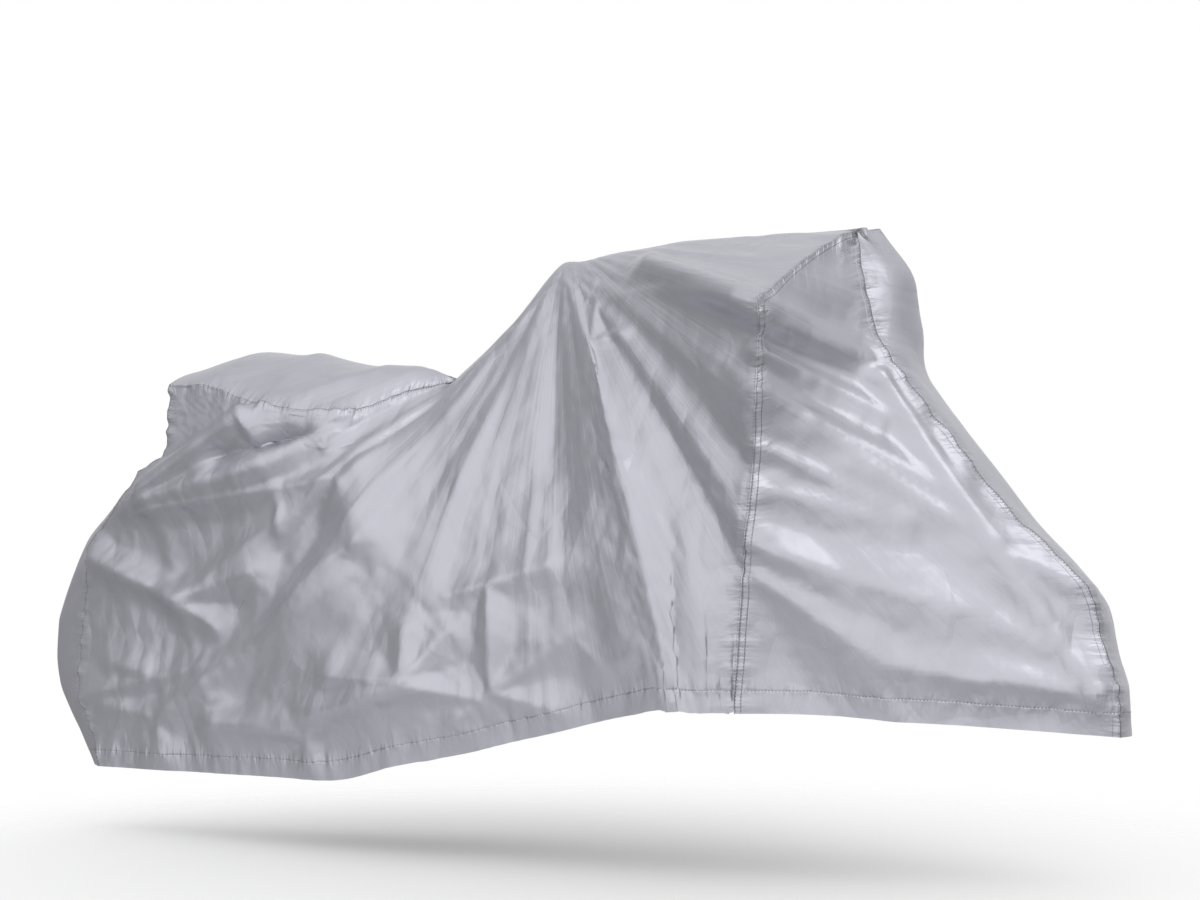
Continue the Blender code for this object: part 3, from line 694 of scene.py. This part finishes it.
for name, edges in SEAM_EDGES.items():
    number = fine_numbers[name]
    grid = fine_skin[number]
    nearest = np.full(number.shape, NO_SEAM)
    along = np.zeros(number.shape)
    for axis, at_end in edges:
        away = run_from(grid, axis, at_end)
        line = np.take(number, -1 if at_end else 0, axis=axis)
        values = np.broadcast_to(np.expand_dims(along_seam[line], axis), number.shape)
        if name.startswith("body") and axis == 1:
            away[top_cells + 1:] = NO_SEAM
        closer = away < nearest
        nearest = np.where(closer, away, nearest)
        along = np.where(closer, values, along)
    hem_axis = 1 if name.startswith("body") else 0
    hem = run_from(grid, hem_axis, True)
    flat_number = number.ravel()
    seam_place[flat_number] = np.stack([along, nearest, hem], -1).reshape(-1, 3)

# Gathers along the seams that are too large to leave to the material.
PUCKER = 0.0030
PUCKER_REACH = 0.022
PUCKER_LENGTH = 0.013
PUCKER_SPREAD = 0.05
HEM_PUCKER_LENGTH = 0.014
HEM_PUCKER_SPREAD = 0.03
pucker = smooth_noise(seam_place[:, 0] / PUCKER_LENGTH, seam_place[:, 1] / PUCKER_SPREAD, 7)
pucker = pucker * np.exp(-seam_place[:, 1] / PUCKER_REACH)
hem_pucker = smooth_noise(fine_skin[:, 0] / HEM_PUCKER_LENGTH, fine_skin[:, 1] / HEM_PUCKER_SPREAD, 8)
hem_pucker = hem_pucker * np.exp(-np.abs(seam_place[:, 2] - HEM_DEPTH) / PUCKER_REACH)
out = point_normals(fine_skin, fine_cells)
fine_skin = fine_skin + out * (PUCKER * (pucker + hem_pucker))[:, None]
out = point_normals(fine_skin, fine_cells)
fan_place = np.stack([np.arctan2(fine_skin[:, 0], FAN_TOP - fine_skin[:, 2]),
                      np.hypot(fine_skin[:, 0], FAN_TOP - fine_skin[:, 2]), np.sign(fine_skin[:, 1])], 1)
THICKNESS = 0.001
inner_skin = fine_skin - THICKNESS * out
drop = np.array([0, 0, SADDLE_HEIGHT])


# ---------------------------------------------------------------- the five cloths
# The body, the two front sides and the front and rear strips, all of one silver-grey coated film.
# Each is a closed thin sheet cut from the skin above along its seams, with its hem turned up on it.
# The front sides are felled: a flat band runs beside their seams.
def split_cells(points, quads):
    """Cut each cell in two along its shorter diagonal, and drop the halves that have collapsed."""
    corners = points[quads]
    first_way = np.linalg.norm(corners[:, 2] - corners[:, 0], axis=1)
    second_way = np.linalg.norm(corners[:, 3] - corners[:, 1], axis=1)
    turned_quads = np.where((first_way <= second_way)[:, None], quads, np.roll(quads, -1, axis=1))
    halves = np.concatenate([turned_quads[:, [0, 1, 2]], turned_quads[:, [0, 2, 3]]])
    a, b, c = halves.T
    return halves[(a != b) & (b != c) & (c != a)]


RIM_ANGLE = np.radians(60)


def cut_cloth(name, owners_of_cloth):
    """The closed thin sheet between the skin and its inner face over the named grids' cells. Sides
    that only one triangle has are the rim, and get a wall."""
    faces = split_cells(fine_skin, fine_cells[np.isin(fine_owners, owners_of_cloth)])
    used, local = np.unique(faces, return_inverse=True)
    faces = local.reshape(-1, 3)
    count = len(used)
    sides = np.concatenate([faces[:, [0, 1]], faces[:, [1, 2]], faces[:, [2, 0]]])
    key = sides[:, 0] * count + sides[:, 1]
    rim = sides[~np.isin(key, sides[:, 1] * count + sides[:, 0])]
    a, b = rim.T
    walls = np.concatenate([np.stack([a, a + count, b + count], 1), np.stack([a, b + count, b], 1)])
    triangles = np.concatenate([faces, faces[:, ::-1] + count, walls])
    points = np.concatenate([fine_skin[used], inner_skin[used]]) - drop
    mesh = bpy.data.meshes.new(name)
    mesh.from_pydata(points.tolist(), [], triangles.tolist())
    mesh.shade_smooth()
    mesh.set_sharp_from_angle(angle=RIM_ANGLE)
    for attribute, values in (("seam_place", seam_place), ("fan_place", fan_place)):
        place = mesh.attributes.new(attribute, "FLOAT_VECTOR", "POINT")
        place.data.foreach_set("vector", np.tile(values[used], (2, 1)).ravel())
    piece = bpy.data.objects.new(name, mesh)
    bpy.context.scene.collection.objects.link(piece)
    return piece


class Socket:
    """One output of a finish's node tree. Arithmetic on it adds Math nodes to the tree."""

    def __init__(self, tree, output=None):
        self.tree = tree
        self.output = output

    def node(self, kind, settings, inputs, output=0, stops=()):
        """Add a node: its settings and ramp stops first, then its sockets' values or links."""
        added = self.tree.nodes.new(kind)
        for name, value in settings.items():
            setattr(added, name, value)
        for stop, (place, colour) in zip(added.color_ramp.elements if stops else (), stops):
            stop.position = place
            stop.color = colour
        for name, value in inputs.items():
            if isinstance(value, Socket):
                self.tree.links.new(value.output, added.inputs[name])
            else:
                added.inputs[name].default_value = value
        return Socket(self.tree, added.outputs[output])

    def maths(self, operation, first, second=0.0):
        return self.node("ShaderNodeMath", {"operation": operation}, {0: first, 1: second})

    def __add__(self, other):
        return self.maths("ADD", self, other)

    def __radd__(self, other):
        return self.maths("ADD", other, self)

    def __sub__(self, other):
        return self.maths("SUBTRACT", self, other)

    def __rsub__(self, other):
        return self.maths("SUBTRACT", other, self)

    def __mul__(self, other):
        return self.maths("MULTIPLY", self, other)

    def __rmul__(self, other):
        return self.maths("MULTIPLY", other, self)

    def __pow__(self, other):
        return self.maths("POWER", self, other)

    def bell(self, centre, width):
        """A bell curve of the value: 1 at the centre, and nearly 0 two widths away."""
        return self.maths("EXPONENT", -1.0 * ((self - centre) * (1 / width)) ** 2.0)

    def fading(self, reach):
        """1 at zero, falling away exponentially."""
        return self.maths("EXPONENT", self * (-1 / reach))

    def step(self, start, end):
        """From 0 at the start to 1 at the end, with an eased slope."""
        return self.node("ShaderNodeMapRange", {"interpolation_type": "SMOOTHSTEP"},
                         {"Value": self, "From Min": start, "From Max": end})

    def parts(self):
        """The three numbers of a vector."""
        split = self.tree.nodes.new("ShaderNodeSeparateXYZ")
        self.tree.links.new(self.output, split.inputs[0])
        return [Socket(self.tree, output) for output in split.outputs]


def silver_film(felled):
    """Silver-grey coated film: a satin metallic grey, a little uneven in tone and gloss, with fine
    crinkles and gathers along the stitched seams, and a painted shadow in the slit along each seam.
    A felled seam has a band beside it."""
    material = bpy.data.materials.new("silver_film_felled" if felled else "silver_film")
    material.use_nodes = True
    tree = material.node_tree
    shader = tree.nodes["Principled BSDF"]
    root = Socket(tree)
    place = root.node("ShaderNodeTexCoord", {}, {}, "Object")
    seam = root.node("ShaderNodeAttribute", {"attribute_name": "seam_place"}, {}, "Vector")
    along, away, hem = seam.parts()

    def noise(coordinates, scale, detail=2.0, size=(1, 1, 1)):
        stretched = root.node("ShaderNodeMapping", {}, {"Vector": coordinates, "Scale": size})
        return root.node("ShaderNodeTexNoise", {}, {"Vector": stretched, "Scale": scale, "Detail": detail})

    def facets(scale):
        stretched = root.node("ShaderNodeMapping", {}, {"Vector": bent, "Scale": (1.0, 1.0, 0.6)})
        return root.node("ShaderNodeTexVoronoi", {"feature": "DISTANCE_TO_EDGE"},
                         {"Vector": stretched, "Scale": scale}, "Distance")

    shove = root.node("ShaderNodeTexNoise", {}, {"Vector": place, "Scale": 6.0, "Detail": 2.0}, "Color")
    shove = root.node("ShaderNodeVectorMath", {"operation": "SCALE"}, {0: shove, "Scale": 0.04})
    bent = root.node("ShaderNodeVectorMath", {"operation": "ADD"}, {0: place, 1: shove})
    tone = noise(place, 7.0, 3.0)
    patch = 0.30 + 0.70 * noise(place, 4.0, 1.0).step(0.42, 0.62)
    fan = root.node("ShaderNodeAttribute", {"attribute_name": "fan_place"}, {}, "Vector")
    streak = noise(fan, 1.0, 4.0, (55, 4.0, 3))
    gather = noise(seam, 1.0, 2.0, (95, 22, 0))
    hem_gather = noise(place, 1.0, 2.0, (80, 80, 16))
    near_seam = away.fading(0.014)
    near_hem = root.maths("ABSOLUTE", hem - HEM_DEPTH).fading(0.010)
    # A narrow bell on the seam line: sunk below as a groove in the bump, and used as painted shade in the
    # colour.
    seam_groove_and_shade = away.bell(0.0, 0.0009)
    height = 0.0060 * (gather - 0.5) * near_seam + 0.0075 * (hem_gather - 0.5) * near_hem
    height = height + (0.0100 * facets(7.0) + 0.0036 * facets(19.0)) * patch + 0.0008 * (streak - 0.5)
    height = height - 0.0008 * seam_groove_and_shade - 0.0005 * hem.bell(HEM_DEPTH, 0.0012)
    height = height + 0.0007 * (1 - hem.step(HEM_DEPTH - 0.0008, HEM_DEPTH + 0.0008))
    if felled:
        band = away.step(0.0004, 0.0014) * (1 - away.step(FELL_WIDTH - 0.0006, FELL_WIDTH + 0.0006))
        height = height + 0.0009 * band
    bump = root.node("ShaderNodeBump", {}, {"Height": height, "Strength": 1.0, "Distance": 1.0})
    dark, light = (0.397, 0.398, 0.446, 1), (0.475, 0.476, 0.528, 1)
    colour = root.node("ShaderNodeMix", {"data_type": "RGBA"},
                       {0: (tone + streak) * 0.5, 6: dark, 7: light}, 2)
    # The seam's slit is painted nearly black as well as sunk: a painted shadow in the groove between the
    # cloths.
    colour = root.node("ShaderNodeMix", {"data_type": "RGBA"},
                       {0: seam_groove_and_shade * 0.45, 6: colour, 7: (0.05, 0.05, 0.055, 1)}, 2)
    tree.links.new(colour.output, shader.inputs["Base Color"])
    tree.links.new((0.23 + 0.16 * streak).output, shader.inputs["Roughness"])
    tree.links.new(bump.output, shader.inputs["Normal"])
    shader.inputs["Metallic"].default_value = 0.55
    return material


FELL_WIDTH = 0.010
film = silver_film(False)
felled_film = silver_film(True)
CLOTHS = (
    ("body_film", "cover_body", ("body_far", "body_near"), (1.93, 1.57), 2.27),
    ("front_side_far_film", "front_side_far", ("front_side_far",), (0.53, 0.88), 0.256),
    ("front_side_near_film", "front_side_near", ("front_side_near",), (0.53, 0.88), 0.259),
    ("front_strip_film", "front_strip", ("front_strip",), (0.21, 0.88), 0.133),
    ("rear_strip_film", "rear_strip", ("rear_strip",), (0.48, 1.56), 0.469),
)
for name, node, owners_of_cloth, flat, area in CLOTHS:
    piece = cut_cloth(name, owners_of_cloth)
    piece.data.materials.append(felled_film if name.startswith("front_side") else film)
    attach(piece, "root")
    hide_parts(node)


# ---------------------------------------------------------------- stitches
# Every seam is sewn beside its edge, the felled seams twice, and the hem along its upper fold. The
# thread is a darker grey, and each stitch lies on the film and dips into it at both ends.
STITCH_PITCH = 0.0050
STITCH_LENGTH = 0.0034
THREAD_RADIUS = 0.00045
BESIDE_SEAM = 0.0030
FIRST_FELL_LINE = 0.0020
SECOND_FELL_LINE = FELL_WIDTH - 0.001
STITCH_PROUD = 0.6


def line_beside(number, axis, at_end, distance):
    """The line on a grid at a set distance from its first or last line, and the film's direction
    along it: each crossing line is measured, and read between the two points nearest."""
    lines = np.moveaxis(number, axis, 0)
    lines = lines[::-1] if at_end else lines
    points = fine_skin[lines]
    run = np.cumsum(np.linalg.norm(np.diff(points, axis=0), axis=2), axis=0)
    run = np.concatenate([np.zeros((1, run.shape[1])), run])
    before = np.clip((run < distance).sum(axis=0) - 1, 0, len(run) - 2)
    each = np.arange(run.shape[1])
    step = np.maximum(run[before + 1, each] - run[before, each], 1e-9)
    part = np.clip((distance - run[before, each]) / step, 0, 1)[:, None]
    place = points[before, each] * (1 - part) + points[before + 1, each] * part
    facing = out[lines][before, each] * (1 - part) + out[lines][before + 1, each] * part
    return place, facing


def stitched(place, facing):
    """Stitches along a line: pointed lozenges of thread at an even pitch, four-sided in the middle.
    Gives their points and triangles."""
    run = np.concatenate([[0], np.cumsum(np.linalg.norm(np.diff(place, axis=0), axis=1))])
    starts = np.arange(STITCH_PITCH / 2, run[-1] - STITCH_LENGTH, STITCH_PITCH)

    def read(values, at):
        return np.stack([np.interp(at, run, values[:, i]) for i in range(3)], 1)

    first, last = read(place, starts), read(place, starts + STITCH_LENGTH)
    upward = read(facing, starts + STITCH_LENGTH / 2)
    upward /= np.linalg.norm(upward, axis=1, keepdims=True)
    forward = last - first
    forward /= np.linalg.norm(forward, axis=1, keepdims=True) + 1e-12
    aside = np.cross(upward, forward) * THREAD_RADIUS
    middle = (first + last) / 2 + upward * THREAD_RADIUS * STITCH_PROUD
    lift = upward * THREAD_RADIUS
    corners = np.stack([first, middle + aside, middle + lift, middle - aside, middle - lift, last], 1)
    ring = np.array([1, 2, 3, 4])
    ahead = np.roll(ring, -1)
    lozenge = np.concatenate([np.stack([np.zeros(4, int), ahead, ring], 1),
                              np.stack([np.full(4, 5), ring, ahead], 1)])
    triangles = (lozenge[None] + 6 * np.arange(len(first))[:, None, None]).reshape(-1, 3)
    return corners.reshape(-1, 3), triangles


THREAD_LINES = []
for half in ("body_far", "body_near"):
    rear = slice(None, top_cells + 1)
    grid = fine_numbers[half]
    THREAD_LINES += [(grid, 0, True, BESIDE_SEAM), (grid, 0, False, BESIDE_SEAM),
                     (grid[rear], 1, False, BESIDE_SEAM), (grid, 1, True, HEM_DEPTH)]
for side in ("front_side_far", "front_side_near"):
    grid = fine_numbers[side]
    THREAD_LINES += [(grid, 1, False, FIRST_FELL_LINE), (grid, 1, False, SECOND_FELL_LINE),
                     (grid, 0, False, BESIDE_SEAM), (grid, 1, True, BESIDE_SEAM), (grid, 0, True, HEM_DEPTH)]
THREAD_LINES += [(fine_numbers[strip], 0, True, HEM_DEPTH) for strip in ("front_strip", "rear_strip")]
corners, triangles, count = [], [], 0
for line in THREAD_LINES:
    new_corners, new_triangles = stitched(*line_beside(*line))
    corners.append(new_corners)
    triangles.append(new_triangles + count)
    count += len(new_corners)
mesh = bpy.data.meshes.new("seam_stitches")
mesh.from_pydata((np.concatenate(corners) - drop).tolist(), [], np.concatenate(triangles).tolist())
mesh.shade_smooth()
stitches = bpy.data.objects.new("seam_stitches", mesh)
bpy.context.scene.collection.objects.link(stitches)
thread = bpy.data.materials.new("grey_thread")
thread.use_nodes = True
thread_shader = thread.node_tree.nodes["Principled BSDF"]
thread_root = Socket(thread.node_tree)
thread_place = thread_root.node("ShaderNodeTexCoord", {}, {}, "Object")
thread_tone = thread_root.node("ShaderNodeTexNoise", {}, {"Vector": thread_place, "Scale": 400.0})
thread_colour = thread_root.node("ShaderNodeMix", {"data_type": "RGBA"},
                                 {0: thread_tone, 6: (0.10, 0.10, 0.11, 1), 7: (0.22, 0.22, 0.24, 1)}, 2)
thread.node_tree.links.new(thread_colour.output, thread_shader.inputs["Base Color"])
thread_shader.inputs["Roughness"].default_value = 0.7
mesh.materials.append(thread)
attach(stitches, "root")


# ---------------------------------------------------------------- floor, light and camera
# The stage: a round matt pale floor that fades out to the white behind it, a soft dome of light
# with one large lamp on the front right, and the camera.
floor_mesh = bpy.data.meshes.new("floor")
FLOOR_RADIUS = 12
FLOOR_SIDES = 96
FLOOR_FADE_FROM = 0.7
FLOOR_FADE_TO = 2.0
turn = np.linspace(0, 2 * np.pi, FLOOR_SIDES, endpoint=False)
floor_points = np.stack([FLOOR_RADIUS * np.cos(turn), FLOOR_RADIUS * np.sin(turn),
                         np.full(FLOOR_SIDES, -SADDLE_HEIGHT)], 1)
floor_mesh.from_pydata(floor_points.tolist(), [], [list(range(FLOOR_SIDES))])
floor = bpy.data.objects.new("floor", floor_mesh)
bpy.context.scene.collection.objects.link(floor)
floor_paint = bpy.data.materials.new("pale_floor")
floor_paint.use_nodes = True
floor_shader = floor_paint.node_tree.nodes["Principled BSDF"]
floor_shader.inputs["Base Color"].default_value = (0.9, 0.9, 0.9, 1)
floor_shader.inputs["Roughness"].default_value = 0.9
floor_root = Socket(floor_paint.node_tree)
floor_place = floor_root.node("ShaderNodeTexCoord", {}, {}, "Object")
from_middle = floor_root.node("ShaderNodeVectorMath", {"operation": "LENGTH"}, {0: floor_place}, "Value")
kept_floor = 1 - from_middle.step(FLOOR_FADE_FROM, FLOOR_FADE_TO)
floor_paint.node_tree.links.new(kept_floor.output, floor_shader.inputs["Alpha"])
floor_mesh.materials.append(floor_paint)

# A soft dome: dim all round, brightest in front, a little to the right and up, and fairly bright
# behind and above, so the far side is lit too. The camera itself sees plain white.
BRIGHT_SIDE = (0.22, -0.87, 0.44)
BACK_AND_ABOVE = (0.0, 0.75, 0.66)
ALL_ROUND = 0.27
FRONT_STRENGTH = 1.16
BACK_STRENGTH = 0.62
world = bpy.data.worlds.new("studio")
bpy.context.scene.world = world
world.use_nodes = True
world.node_tree.nodes.clear()
sky = Socket(world.node_tree)
direction = sky.node("ShaderNodeTexCoord", {}, {}, "Generated")
product = {"operation": "DOT_PRODUCT"}
towards = sky.node("ShaderNodeVectorMath", product, {0: direction, 1: BRIGHT_SIDE}, "Value")
above = sky.node("ShaderNodeVectorMath", product, {0: direction, 1: BACK_AND_ABOVE}, "Value")
strength = ALL_ROUND + FRONT_STRENGTH * towards.step(0.10, 0.97) + BACK_STRENGTH * above.step(0.15, 0.95)
lit = sky.node("ShaderNodeBackground", {}, {"Color": (1, 1, 1, 1), "Strength": strength})
seen = sky.node("ShaderNodeBackground", {}, {"Color": (1, 1, 1, 1), "Strength": 1.0})
seen_ray = sky.node("ShaderNodeLightPath", {}, {}, "Is Camera Ray")
both = sky.node("ShaderNodeMixShader", {}, {0: seen_ray, 1: lit, 2: seen})
world.node_tree.links.new(both.output, world.node_tree.nodes.new("ShaderNodeOutputWorld").inputs["Surface"])

LIGHTS = (
    # name, place, aimed at, width, height, watts
    ("key_light", (3.2, -1.8, 2.8), (0.0, 0.0, -0.4), 2.4, 2.4, 25),
)
for name, place, aim, width, tall, watts in LIGHTS:
    lamp = bpy.data.lights.new(name, "AREA")
    lamp.shape = "RECTANGLE"
    lamp.size = width
    lamp.size_y = tall
    lamp.energy = watts
    holder = bpy.data.objects.new(name, lamp)
    holder.location = place
    holder.rotation_euler = (Vector(aim) - Vector(place)).to_track_quat("-Z", "Y").to_euler()
    bpy.context.scene.collection.objects.link(holder)

CAMERA_PLACE = (0.988, -1.998, 0.312 - SADDLE_HEIGHT)
CAMERA_TILT = np.radians(99.39)
CAMERA_TURN = np.radians(25)
camera_data = bpy.data.cameras.new("camera")
camera_data.lens = 39
camera_data.sensor_width = 36
camera = bpy.data.objects.new("camera", camera_data)
camera.location = CAMERA_PLACE
camera.rotation_euler = (CAMERA_TILT, 0, CAMERA_TURN)
bpy.context.scene.collection.objects.link(camera)
bpy.context.scene.camera = camera
bpy.context.scene.view_settings.view_transform = "Standard"
